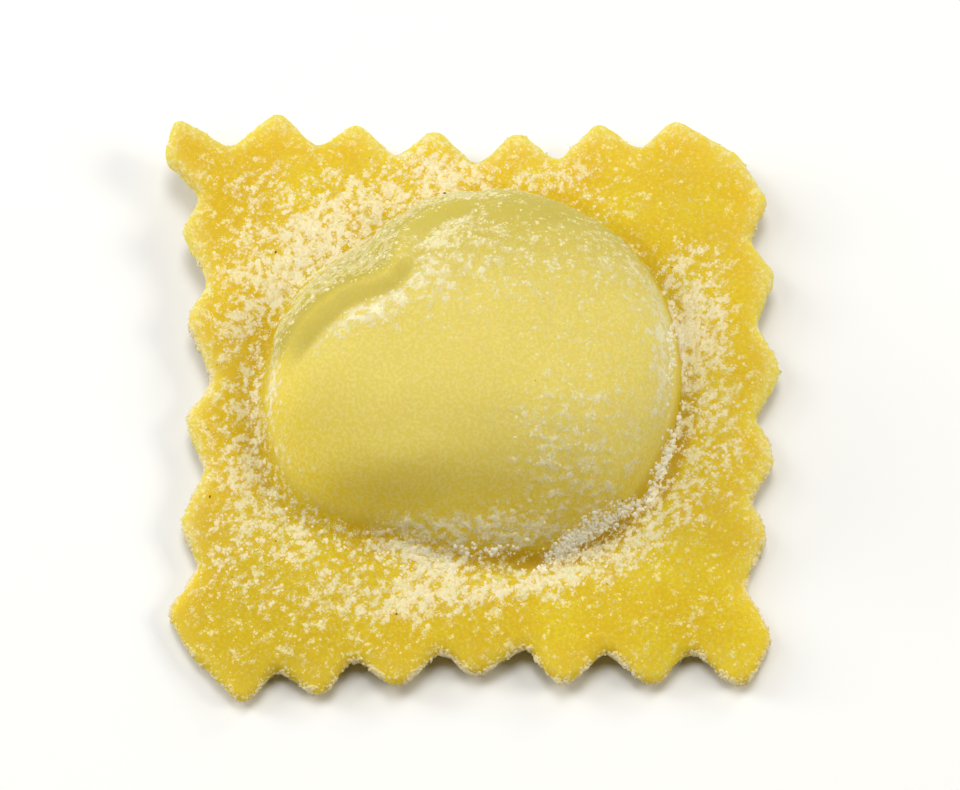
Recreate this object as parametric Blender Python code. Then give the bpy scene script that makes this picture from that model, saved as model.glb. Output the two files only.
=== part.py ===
"""Raviolo: one square pillow of fresh egg pasta, modelled as a single closed solid.

Two sheets of dough are pressed together round a mound of filling and cut out with a
fluted wheel. The upper sheet stands up as a dome with a fold on its far left side, the
lower sheet bulges into a shallow belly with a small flat spot that the piece stands on.
The pressed border waves: its far corners curl up and its near corners droop.

X runs to the right, Y away from the viewer, Z up. Lengths below are millimetres, and the
mesh is made in metres with its origin at the bottom centre of its bounding box.
"""
import math
from dataclasses import dataclass

import bmesh
import bpy

MM = 0.001

# Border: two sheets pressed into one.
EDGE_THICKNESS = 1.4
BORDER_THICKNESS = 1.7
EDGE_BEVEL = 0.4

# Height of the middle of the border above the table at its four corners.
NEAR_LEFT_LIFT = 0.80
NEAR_RIGHT_LIFT = 0.95
FAR_LEFT_LIFT = 4.3
FAR_RIGHT_LIFT = 3.4
HALF_WIDTH = 25.5
HALF_DEPTH = 26.5
NEAR_EDGE_RISE = 1.1
FAR_EDGE_SAG = 0.6

# Dome over the filling.
DOME_X = 0.3
DOME_Y = 2.4
DOME_RADIUS = 17.0
DOME_HEIGHT = 9.6
DOME_FULLNESS = 2.9
DOME_EDGE_POWER = 0.55

# The dome's near side falls as one broad slope, cut across the mound.
SLOPE_TOP = 10.6
SLOPE_START = -4.0
SLOPE_END = -16.4
SLOPE_POWER = 1.6
SHOULDER_SHARPNESS = 6.0

# Fold across the far left shoulder of the dome: a crease with one kink, then a step down.
FOLD_ANGLE = 131.0
FOLD_OFFSET = 9.6
FOLD_KINK = 1.9
FOLD_SWING = 0.9
FOLD_DROP = 1.0
FOLD_RIDGE = 0.3
FOLD_HALF_LENGTH = 12.0

# Underside.
FLAT_SPOT = 0.45
TUCK_DEPTH = 0.45

# Vertices on the rounding of each tooth, notch and corner of the cut edge.
ARC_POINTS = 4

# Rings of vertices: how many vertices, and where each ring lies. A share of the foot is
# a share of the dome's radius; a share of the border runs from the foot to the collar, a
# rounded square that passes just inside the notches.
COLLAR_HALF_SIZE = 19.8
COLLAR_SQUARENESS = 5.0
TEETH_RINGS = (0.34, 0.66)
UPPER_BORDER_RINGS = (120, (1.0, 0.72, 0.46, 0.22, 0.08))
DOME_RINGS = (120, (0.99, 0.965, 0.93, 0.885, 0.83, 0.77, 0.71, 0.65, 0.58, 0.50, 0.41))
CROWN_RINGS = (60, (0.31, 0.20, 0.09))
UNDER_BORDER_RINGS = (80, (1.0, 0.6, 0.2))
BELLY_RINGS = (80, (0.98, 0.86, 0.74, 0.61))
FLAT_RINGS = (40, (FLAT_SPOT, 0.2))

PASTA_YELLOW = (0.74, 0.50, 0.055, 1.0)
PASTA_ROUGHNESS = 0.55


@dataclass(frozen=True)
class FlutedSide:
    """One side cut with the fluted wheel, from its first notch to its last.

    Teeth and notches have an even pitch along the chord between the two end notches. Each
    then stands out from the chord, and drifts along it, as far as the wheel was pushed.
    """

    first: tuple
    last: tuple
    tooth_out: tuple
    tooth_drift: tuple
    notch_out: tuple
    notch_drift: tuple
    tip_radius: float
    notch_radius: float


# Clockwise from the far left corner. Positive drift leans towards the last notch.
FAR_SIDE = FlutedSide(
    first=(-20.4, 23.7),
    last=(14.2, 24.0),
    tooth_out=(3.9, 2.8, 2.3, 2.1, 2.9),
    tooth_drift=(0.7, 0.4, 0.1, 0.1, 0.1),
    notch_out=(0.2, -0.7, -1.5, -1.1),
    notch_drift=(0.3, 0.2, 0.1, 0.0),
    tip_radius=1.4,
    notch_radius=0.7,
)
RIGHT_SIDE = FlutedSide(
    first=(23.6, 15.5),
    last=(22.6, -15.8),
    tooth_out=(2.4, 3.0, 2.6, 1.9),
    tooth_drift=(-0.7, -0.1, 0.4, -1.0),
    notch_out=(0.6, 0.8, 0.4),
    notch_drift=(0.0, 0.5, 0.3),
    tip_radius=2.2,
    notch_radius=0.6,
)
NEAR_SIDE = FlutedSide(
    first=(18.1, -21.3),
    last=(-15.8, -22.9),
    tooth_out=(3.6, 3.6, 2.0, 2.9, 3.2),
    tooth_drift=(0.1, 0.6, 0.9, 0.5, -0.1),
    notch_out=(-0.2, -0.8, -0.8, -0.5),
    notch_drift=(0.2, 0.1, 0.1, 0.6),
    tip_radius=1.6,
    notch_radius=1.0,
)
LEFT_SIDE = FlutedSide(
    first=(-22.5, -14.1),
    last=(-22.9, 19.1),
    tooth_out=(1.6, 1.3, 1.2, 1.8),
    tooth_drift=(-0.2, 0.6, 1.4, 1.0),
    notch_out=(-0.5, -1.0, -0.7),
    notch_drift=(0.3, -0.1, 0.3),
    tip_radius=1.8,
    notch_radius=1.0,
)

# What each corner of the square adds between two sides: points with their rounding.
FAR_RIGHT_CORNER = ((17.2, 27.2, 1.4), (22.8, 23.3, 3.0), (25.3, 19.2, 1.5))
NEAR_RIGHT_CORNER = ((24.9, -20.3, 2.4), (22.3, -25.4, 1.7))
NEAR_LEFT_CORNER = ((-18.6, -26.5, 1.4), (-23.1, -21.6, 4.0), (-25.1, -18.0, 1.5))
FAR_LEFT_CORNER = ((-26.1, 22.2, 1.0), (-25.2, 26.4, 1.1))


def smooth_step(low, high, value):
    """Ease from 0 at low to 1 at high."""
    share = min(max((value - low) / (high - low), 0.0), 1.0)
    return share * share * (3.0 - 2.0 * share)


def bell(value, centre, width):
    """A rounded bump of height 1 round centre."""
    return math.exp(-((value - centre) / width) ** 2)


def bell_round(angle, centre, width):
    """A rounded bump on the turn of the compass, in degrees."""
    apart = (angle - centre + 180.0) % 360.0 - 180.0
    return math.exp(-(apart / width) ** 2)


def side_corners(side):
    """The notches and teeth of one side as (x, y, rounding) corners."""
    run_x = side.last[0] - side.first[0]
    run_y = side.last[1] - side.first[1]
    length = math.hypot(run_x, run_y)
    along = (run_x / length, run_y / length)
    teeth = len(side.tooth_out)
    pitch = length / teeth

    def place(distance, out, rounding):
        x = side.first[0] + along[0] * distance - along[1] * out
        y = side.first[1] + along[1] * distance + along[0] * out
        return (x, y, rounding)

    corners = [place(0.0, 0.0, side.notch_radius)]
    for tooth in range(teeth):
        tip_at = (tooth + 0.5) * pitch + side.tooth_drift[tooth]
        corners.append(place(tip_at, side.tooth_out[tooth], side.tip_radius))
        if tooth < teeth - 1:
            notch_at = (tooth + 1) * pitch + side.notch_drift[tooth]
            corners.append(place(notch_at, side.notch_out[tooth], side.notch_radius))
    corners.append(place(length, 0.0, side.notch_radius))
    return corners


def rounded(corners):
    """Round each corner of a closed outline, and add the middle of each flank."""
    points = []
    count = len(corners)
    for index, (x, y, radius) in enumerate(corners):
        before = corners[index - 1]
        after = corners[(index + 1) % count]
        to_before = (before[0] - x, before[1] - y)
        to_after = (after[0] - x, after[1] - y)
        length_before = math.hypot(*to_before)
        length_after = math.hypot(*to_after)
        unit_before = (to_before[0] / length_before, to_before[1] / length_before)
        unit_after = (to_after[0] / length_after, to_after[1] / length_after)
        cosine = unit_before[0] * unit_after[0] + unit_before[1] * unit_after[1]
        half = 0.5 * math.acos(max(-1.0, min(1.0, cosine)))
        tangent = min(radius / math.tan(half), 0.45 * length_before, 0.45 * length_after)
        start = (x + unit_before[0] * tangent, y + unit_before[1] * tangent)
        end = (x + unit_after[0] * tangent, y + unit_after[1] * tangent)
        for step in range(ARC_POINTS):
            share = step / (ARC_POINTS - 1)
            a = (1.0 - share) ** 2
            b = 2.0 * share * (1.0 - share)
            c = share ** 2
            points.append((a * start[0] + b * x + c * end[0], a * start[1] + b * y + c * end[1]))
        points.append(((x + after[0]) / 2.0, (y + after[1]) / 2.0))
    return points


def cut_outline():
    """The whole fluted outline, counter-clockwise seen from above."""
    corners = []
    corners += side_corners(FAR_SIDE)
    corners += FAR_RIGHT_CORNER
    corners += side_corners(RIGHT_SIDE)
    corners += NEAR_RIGHT_CORNER
    corners += side_corners(NEAR_SIDE)
    corners += NEAR_LEFT_CORNER
    corners += side_corners(LEFT_SIDE)
    corners += FAR_LEFT_CORNER
    return rounded(corners)[::-1]


def inset(outline, distance):
    """Move every point of a counter-clockwise outline inwards, square to the edge."""
    points = []
    count = len(outline)
    for index, (x, y) in enumerate(outline):
        before = outline[index - 1]
        after = outline[(index + 1) % count]
        run_x = after[0] - before[0]
        run_y = after[1] - before[1]
        length = math.hypot(run_x, run_y)
        points.append((x - run_y / length * distance, y + run_x / length * distance))
    return points


def foot_radius(angle):
    """Radius of the dome's foot in one direction, in degrees round the dome's axis."""
    fold_side = 1.5 * bell_round(angle, 122.0, 24.0)
    left_side = 0.9 * bell_round(angle, 192.0, 14.0)
    near_left_corner = 2.3 * bell_round(angle, 216.0, 17.0)
    near_side = 1.3 * bell_round(angle, 256.0, 20.0)
    far_right = 0.5 * bell_round(angle, 40.0, 30.0)
    near_right = 0.4 * bell_round(angle, 315.0, 14.0)
    return DOME_RADIUS - fold_side + left_side + near_left_corner - near_side + far_right + near_right


def dome_polar(x, y):
    """Angle in degrees and share of the foot radius of a point round the dome's axis."""
    across = x - DOME_X
    away = y - DOME_Y
    angle = math.degrees(math.atan2(away, across))
    return angle, math.hypot(across, away) / foot_radius(angle)


def border_lift(x, y):
    """Height of the middle of the pressed border over the table."""
    u = x / HALF_WIDTH
    v = y / HALF_DEPTH
    right = 0.5 * (u + 1.0)
    far = 0.5 * (v + 1.0)
    near_lift = NEAR_LEFT_LIFT * (1.0 - right) + NEAR_RIGHT_LIFT * right
    far_lift = FAR_LEFT_LIFT * (1.0 - right) + FAR_RIGHT_LIFT * right
    lift = near_lift * (1.0 - far) + far_lift * far
    across = max(0.0, 1.0 - u * u)
    lift += NEAR_EDGE_RISE * across * (1.0 - far)
    lift -= FAR_EDGE_SAG * across * far
    tab_curl = 1.1 * bell(x, -27.0, 4.0) * bell(y, 26.0, 5.0)
    ripple = 0.16 * math.sin(0.42 * x + 1.0) * math.cos(0.37 * y - 0.5)
    return lift + tab_curl + ripple


def fold_relief(x, y):
    """What the fold and the dents add to the dome, negative where they sink in."""
    across = x - DOME_X
    away = y - DOME_Y
    turn = math.radians(FOLD_ANGLE)
    outward = across * math.cos(turn) + away * math.sin(turn)
    along = -across * math.sin(turn) + away * math.cos(turn)
    kink = FOLD_KINK * bell(along, 1.9, 2.4)
    swing = FOLD_SWING * bell(along, -4.6, 2.8)
    past = outward - (FOLD_OFFSET - kink + swing)
    ends = 1.0 - smooth_step(FOLD_HALF_LENGTH - 3.0, FOLD_HALF_LENGTH + 1.5, abs(along - 0.5))
    step = FOLD_DROP * smooth_step(-0.1, 1.5, past)
    rise_again = 0.4 * FOLD_DROP * smooth_step(2.6, 5.0, past)
    ridge = FOLD_RIDGE * bell(past, -0.7, 0.9)
    pocket = 0.9 * bell(across, -2.9, 1.7) * bell(away, 12.9, 1.3)
    far_dent = 0.45 * bell(across, 7.2, 1.9) * bell(away, 11.6, 1.1)
    shoulder = 0.55 * bell(across, -6.0, 7.0) * bell(away, -10.2, 1.8)
    near_hollow = 0.5 * bell(across, -7.0, 7.0) * bell(away, -13.4, 1.8)
    return ends * (ridge + rise_again - step) - pocket - far_dent + shoulder - near_hollow


def softer_of(first, second):
    """The smaller of two heights from 0 up, rounded over where they cross."""
    low = min(first, second)
    high = max(first, second)
    if low <= 0.0:
        return 0.0
    return low / (1.0 + (low / high) ** SHOULDER_SHARPNESS) ** (1.0 / SHOULDER_SHARPNESS)


def dome_height(x, y):
    """Height of the upper sheet over the border, zero outside the dome's foot."""
    angle, share = dome_polar(x, y)
    if share >= 1.0:
        return 0.0
    steep = bell_round(angle, -35.0, 45.0)
    gentle = bell_round(angle, 224.0, 26.0) + 0.5 * bell_round(angle, 132.0, 22.0)
    fullness = DOME_FULLNESS + 1.0 * steep
    edge_power = DOME_EDGE_POWER + 0.55 * gentle - 0.07 * steep
    mound = DOME_HEIGHT * (1.0 - share ** fullness) ** edge_power
    down_slope = max(0.0, SLOPE_START - (y - DOME_Y)) / (SLOPE_START - SLOPE_END)
    slope = SLOPE_TOP * (1.0 - min(1.0, down_slope) ** SLOPE_POWER)
    height = softer_of(mound, slope)
    relief = fold_relief(x, y) * smooth_step(0.0, 0.35, height / DOME_HEIGHT)
    return max(0.0, height + relief)


def foot_tuck(x, y):
    """How far the border dips where the sheet is tucked in round the dome."""
    _, share = dome_polar(x, y)
    return TUCK_DEPTH * bell(share, 1.03, 0.07)


def upper_height(x, y):
    """Top of the dough over the table."""
    return border_lift(x, y) + 0.5 * BORDER_THICKNESS - foot_tuck(x, y) + dome_height(x, y)


def under_height(x, y):
    """Underside of the dough over the table: border, belly and flat spot."""
    _, share = dome_polar(x, y)
    border = border_lift(x, y) - 0.5 * BORDER_THICKNESS
    return max(0.0, border) * smooth_step(FLAT_SPOT, 1.15, share)


def edge_heights(x, y):
    """Lower bevel, middle and upper bevel of the cut edge at one point."""
    middle = border_lift(x, y)
    half = 0.5 * EDGE_THICKNESS
    return max(0.0, middle - half), middle, middle + half


def turns(count):
    """Angles of evenly spread vertices round the dome's axis, in degrees."""
    return [360.0 * index / count for index in range(count)]


def foot_point(angle, share):
    """Point at a share of the foot radius in one direction."""
    radius = foot_radius(angle) * share
    turn = math.radians(angle)
    return DOME_X + radius * math.cos(turn), DOME_Y + radius * math.sin(turn)


def collar_point(angle):
    """Point of the collar that the direction meets, seen from the dome's axis."""
    turn = math.radians(angle)
    cosine = math.cos(turn)
    sine = math.sin(turn)
    size = abs(cosine) ** COLLAR_SQUARENESS + abs(sine) ** COLLAR_SQUARENESS
    radius = COLLAR_HALF_SIZE / size ** (1.0 / COLLAR_SQUARENESS)
    return radius * cosine, radius * sine + 0.25 * DOME_Y


def border_point(angle, share):
    """Point at a share of the way from the dome's foot to the collar."""
    return mix(foot_point(angle, 1.0), collar_point(angle), share)


def mix(start, end, share):
    """Point at a share of the way between two points."""
    return tuple(a + (b - a) * share for a, b in zip(start, end))


def teeth_ring(bevelled, share):
    """Ring between the bevelled edge and the collar, in step with the edge's points."""
    points = []
    for x, y in bevelled:
        angle = math.degrees(math.atan2(y - 0.25 * DOME_Y, x))
        points.append(mix((x, y), collar_point(angle), share))
    return points


def add_ring(mesh, points, height):
    """Add one closed ring of vertices at the heights that a function gives."""
    return [mesh.verts.new((x, y, height(x, y))) for x, y in points]


def place_angle(vertex):
    """Direction of a vertex from the dome's axis, as a fraction of a turn from 0 to 1."""
    return math.atan2(vertex.co.y - DOME_Y, vertex.co.x - DOME_X) / math.tau % 1.0


def from_zero(ring):
    """The same ring, started at its vertex with the smallest angle."""
    angles = [place_angle(vertex) for vertex in ring]
    start = angles.index(min(angles))
    return ring[start:] + ring[:start]


def zip_rings(mesh, outer, inner):
    """Fill the band between two rings of any counts with triangles, side by side."""
    outer = from_zero(outer)
    inner = from_zero(inner)
    outer_angles = [place_angle(vertex) for vertex in outer] + [1.0 + place_angle(outer[0])]
    inner_angles = [place_angle(vertex) for vertex in inner] + [1.0 + place_angle(inner[0])]
    a = 0
    b = 0
    while a < len(outer) or b < len(inner):
        step_outer = b == len(inner) or (a < len(outer) and outer_angles[a + 1] <= inner_angles[b + 1])
        here = (outer[a % len(outer)], inner[b % len(inner)])
        if step_outer:
            mesh.faces.new((here[0], outer[(a + 1) % len(outer)], here[1]))
            a += 1
        else:
            mesh.faces.new((here[0], inner[(b + 1) % len(inner)], here[1]))
            b += 1


def band(mesh, outer, inner):
    """Fill the band between two rings of the same count, vertex by vertex."""
    count = len(outer)
    for index in range(count):
        after = (index + 1) % count
        mesh.faces.new((outer[index], outer[after], inner[after], inner[index]))


def close_centre(mesh, ring, height):
    """Close the middle of the innermost ring with a fan round one vertex."""
    centre = mesh.verts.new((DOME_X, DOME_Y, height(DOME_X, DOME_Y)))
    for index, vertex in enumerate(ring):
        mesh.faces.new((vertex, ring[(index + 1) % len(ring)], centre))


def build_sheet(mesh, edge_ring, bevelled, height, zones):
    """Build one side of the dough from the bevelled edge to the middle.

    zones holds, from the outside in, (how a ring is placed, vertex count, shares).
    """
    outer = edge_ring
    for share in TEETH_RINGS:
        ring = add_ring(mesh, teeth_ring(bevelled, share), height)
        band(mesh, outer, ring)
        outer = ring
    for place, count, shares in zones:
        for share in shares:
            points = [place(angle, share) for angle in turns(count)]
            ring = add_ring(mesh, points, height)
            zip_rings(mesh, outer, ring)
            outer = ring
    close_centre(mesh, outer, height)


def stand_at_origin(solid):
    """Scale to metres, with the origin at the bottom centre of the bounding box."""
    lowest = [min(vertex.co[axis] for vertex in solid.verts) for axis in range(3)]
    highest = [max(vertex.co[axis] for vertex in solid.verts) for axis in range(3)]
    middle_x = 0.5 * (lowest[0] + highest[0])
    middle_y = 0.5 * (lowest[1] + highest[1])
    bmesh.ops.translate(solid, verts=solid.verts[:], vec=(-middle_x, -middle_y, -lowest[2]))
    bmesh.ops.scale(solid, verts=solid.verts[:], vec=(MM, MM, MM))


def build_raviolo():
    """Build the closed solid and return its mesh object."""
    outline = cut_outline()
    bevelled = inset(outline, EDGE_BEVEL)
    solid = bmesh.new()

    middle_ring = add_ring(solid, outline, lambda x, y: edge_heights(x, y)[1])
    upper_ring = add_ring(solid, bevelled, lambda x, y: edge_heights(x, y)[2])
    lower_ring = add_ring(solid, bevelled, lambda x, y: edge_heights(x, y)[0])
    band(solid, middle_ring, upper_ring)
    band(solid, middle_ring, lower_ring)

    upper_zones = (
        (border_point, *UPPER_BORDER_RINGS),
        (foot_point, *DOME_RINGS),
        (foot_point, *CROWN_RINGS),
    )
    under_zones = (
        (border_point, *UNDER_BORDER_RINGS),
        (foot_point, *BELLY_RINGS),
        (foot_point, *FLAT_RINGS),
    )
    build_sheet(solid, upper_ring, bevelled, upper_height, upper_zones)
    build_sheet(solid, lower_ring, bevelled, under_height, under_zones)

    bmesh.ops.triangulate(solid, faces=solid.faces[:], quad_method='SHORT_EDGE')
    bmesh.ops.recalc_face_normals(solid, faces=solid.faces[:])
    stand_at_origin(solid)

    mesh = bpy.data.meshes.new("raviolo")
    solid.to_mesh(mesh)
    solid.free()
    mesh.shade_smooth()
    raviolo = bpy.data.objects.new("raviolo", mesh)
    bpy.context.scene.collection.objects.link(raviolo)
    return raviolo


def egg_pasta():
    """Fresh egg pasta: warm yellow, dull and not metallic."""
    material = bpy.data.materials.new("egg_pasta")
    material.use_nodes = True
    shader = material.node_tree.nodes["Principled BSDF"]
    shader.inputs["Base Color"].default_value = PASTA_YELLOW
    shader.inputs["Roughness"].default_value = PASTA_ROUGHNESS
    shader.inputs["Metallic"].default_value = 0.0
    return material


def main():
    """Empty the scene and build the raviolo."""
    for old in list(bpy.data.objects):
        bpy.data.objects.remove(old, do_unlink=True)
    raviolo = build_raviolo()
    raviolo.data.materials.append(egg_pasta())


main()
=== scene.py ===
"""Looks of one uncooked raviolo dusted with semolina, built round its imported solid.

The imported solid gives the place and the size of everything. The dough is a fine mesh
grown on that solid, the loose semolina is real grains that lie on it, and a white table
under soft lights shows them. Sizes are in millimetres unless a name ends in _m.
"""
import logging
import math
from dataclasses import dataclass
from enum import Enum

import bmesh
import bpy
import numpy as np
from mathutils import Matrix, Vector


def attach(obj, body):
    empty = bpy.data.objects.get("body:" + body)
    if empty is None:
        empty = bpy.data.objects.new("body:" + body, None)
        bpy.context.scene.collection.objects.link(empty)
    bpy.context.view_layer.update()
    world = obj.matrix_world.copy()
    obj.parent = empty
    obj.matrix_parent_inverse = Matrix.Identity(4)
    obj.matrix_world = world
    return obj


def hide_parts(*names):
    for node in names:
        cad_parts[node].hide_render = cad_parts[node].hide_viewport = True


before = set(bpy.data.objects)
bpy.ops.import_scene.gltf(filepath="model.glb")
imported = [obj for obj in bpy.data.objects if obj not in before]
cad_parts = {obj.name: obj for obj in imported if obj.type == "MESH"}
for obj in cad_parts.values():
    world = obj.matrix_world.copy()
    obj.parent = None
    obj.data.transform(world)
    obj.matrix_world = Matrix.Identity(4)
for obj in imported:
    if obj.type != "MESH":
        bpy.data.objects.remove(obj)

LOG = logging.getLogger("raviolo")
MM = 0.001
NODE = "raviolo"
BODY = "root"
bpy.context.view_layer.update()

Rgba = tuple[float, float, float, float]


def linear(code: str) -> Rgba:
    """Turn an sRGB hex colour into linear red, green, blue and alpha.

    Args:
        code: a hash sign and six hex digits.

    Returns:
        The linear colour with alpha 1.
    """
    channels = [int(code[start:start + 2], 16) / 255.0 for start in (1, 3, 5)]
    bent = [c / 12.92 if c <= 0.04045 else ((c + 0.055) / 1.055) ** 2.4 for c in channels]
    return (bent[0], bent[1], bent[2], 1.0)


def per_metre(size: float) -> float:
    """Texture scale, in features per metre, of a pattern whose features are size mm apart."""
    return 1.0 / (size * MM)


def add_node(
    tree: bpy.types.NodeTree, kind: str, inputs: dict | None = None, **settings: object
) -> bpy.types.Node:
    """Add one shader node with its settings and its links.

    Args:
        tree: node tree of a material or of the world.
        kind: node type without its ShaderNode prefix.
        inputs: socket name or number to a value, or to the output socket to link.
        settings: properties of the node itself.

    Returns:
        The new node.
    """
    node = tree.nodes.new("ShaderNode" + kind)
    for name, value in settings.items():
        setattr(node, name, value)
    for socket, value in (inputs or {}).items():
        if isinstance(value, bpy.types.NodeSocket):
            tree.links.new(value, node.inputs[socket])
        else:
            node.inputs[socket].default_value = value
    return node


def fresh_material(name: str) -> tuple[bpy.types.Material, bpy.types.NodeTree]:
    """Make a material and empty its node tree.

    Args:
        name: name of the material.

    Returns:
        The material and its empty tree.
    """
    material = bpy.data.materials.new(name)
    material.use_nodes = True
    material.node_tree.nodes.clear()
    return material, material.node_tree


def put(name: str, data: bpy.types.ID) -> bpy.types.Object:
    """Make an object of a mesh, a light or a camera, and put it in the scene.

    Args:
        name: name of the object.
        data: the mesh, the light or the camera.

    Returns:
        The object, at the origin.
    """
    made = bpy.data.objects.new(name, data)
    bpy.context.scene.collection.objects.link(made)
    return made


@dataclass(frozen=True)
class Coat:
    """One coat of colour: what it lies on and how strongly, optionally eased and masked."""

    colour: str | bpy.types.NodeSocket
    where: bpy.types.NodeSocket
    eased: tuple[float, float] | None = None
    strength: float = 1.0
    within: bpy.types.NodeSocket | None = None

    def over(self, tree: bpy.types.NodeTree, under: str | bpy.types.NodeSocket) -> bpy.types.NodeSocket:
        """Lay the coat.

        Args:
            tree: tree to add to.
            under: colour below, as hex or as a socket.

        Returns:
            The colour on top.
        """
        share = self.where
        if self.eased or self.strength != 1.0:
            low, high = self.eased or (0.0, 1.0)
            share = add_node(
                tree,
                "MapRange",
                {"Value": share, "From Min": low, "From Max": high, "To Max": self.strength},
                interpolation_type="SMOOTHSTEP" if self.eased else "LINEAR",
            ).outputs[0]
        if self.within is not None:
            share = add_node(tree, "Math", {0: share, 1: self.within}, operation="MULTIPLY").outputs[0]
        below, above = (linear(c) if isinstance(c, str) else c for c in (under, self.colour))
        return add_node(tree, "Mix", {0: share, 6: below, 7: above}, data_type="RGBA").outputs[2]


def coated(
    tree: bpy.types.NodeTree, under: str | bpy.types.NodeSocket, *coats: Coat
) -> bpy.types.NodeSocket:
    """Lay coats of colour over one another, in order.

    Args:
        tree: tree to add to.
        under: the lowest colour, as hex or as a socket.
        coats: the coats, lowest first.

    Returns:
        The colour on top.
    """
    for coat in coats:
        under = coat.over(tree, under)
    return under


def smooth_step(low: float | np.ndarray, high: float | np.ndarray, value: np.ndarray) -> np.ndarray:
    """Ease each value from 0 at low to 1 at high."""
    share = np.clip((value - low) / (high - low), 0.0, 1.0)
    return share * share * (3.0 - 2.0 * share)


def unit(vectors: np.ndarray) -> np.ndarray:
    """Bring each row of an array to length 1."""
    return vectors / np.maximum(np.linalg.norm(vectors, axis=1, keepdims=True), 1e-12)


def far_right(points: np.ndarray) -> np.ndarray:
    """Tell how far each point lies towards the far right, in mm."""
    return 0.5 * points[:, 0] + 0.85 * points[:, 1]


class Noise:
    """Smooth noise in space for whole arrays of points, the same on every run."""

    TABLE = 1024
    GAIN = 1.7

    def __init__(self, seed: int) -> None:
        """Shuffle the slopes of the noise's lattice.

        Args:
            seed: which of the possible noises this is.
        """
        draw = np.random.default_rng(seed)
        self.order = draw.permutation(self.TABLE)
        self.slopes = unit(draw.normal(size=(self.TABLE, 3)))
        # The lattice is turned off the axes, or its rows would show on the flat border.
        self.turn = np.linalg.qr(draw.normal(size=(3, 3)))[0]

    def sample(self, points: np.ndarray, size: float) -> np.ndarray:
        """Read the noise at one size.

        Args:
            points: n rows of x, y, z in mm.
            size: distance between features in mm.

        Returns:
            n values, spread about 0 with a deviation near 0.45.
        """
        cells = points @ self.turn / size
        base = np.floor(cells).astype(np.int64)
        inside = cells - base
        ease = inside ** 3 * (inside * (inside * 6.0 - 15.0) + 10.0)
        total = np.zeros(len(points))
        for corner in range(8):
            step = np.array([corner & 1, (corner >> 1) & 1, (corner >> 2) & 1])
            cell = (base + step) % self.TABLE
            pick = self.order[(cell[:, 1] + self.order[cell[:, 2]]) % self.TABLE]
            pick = self.order[(cell[:, 0] + pick) % self.TABLE]
            weight = np.where(step == 1, ease, 1.0 - ease).prod(axis=1)
            total += weight * (self.slopes[pick] * (inside - step)).sum(axis=1)
        return total * self.GAIN

    def fractal(self, points: np.ndarray, size: float, octaves: int) -> np.ndarray:
        """Add up the noise at halving sizes.

        Args:
            points: n rows of x, y, z in mm.
            size: size of the largest features in mm.
            octaves: how many sizes to add.

        Returns:
            n values, spread about 0.
        """
        total = np.zeros(len(points))
        for octave in range(octaves):
            share = 0.5 ** octave
            total += share * self.sample(points + 17.3 * octave, size * share)
        return total


@dataclass(frozen=True)
class Drift:
    """A patch where semolina lies, as a soft ellipse seen from above."""

    x: float
    y: float
    long: float
    short: float
    turn: float
    cover: float

    def share(self, points: np.ndarray) -> np.ndarray:
        """Tell how much of the surface this patch covers.

        Args:
            points: n rows of x, y, z in mm.

        Returns:
            n shares, from 0 to the patch's cover.
        """
        across = points[:, 0] - self.x
        away = points[:, 1] - self.y
        cosine = math.cos(math.radians(self.turn))
        sine = math.sin(math.radians(self.turn))
        along = (across * cosine + away * sine) / self.long
        beside = (away * cosine - across * sine) / self.short
        return self.cover * np.exp(-((along ** 2 + beside ** 2) ** 1.3))


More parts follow.
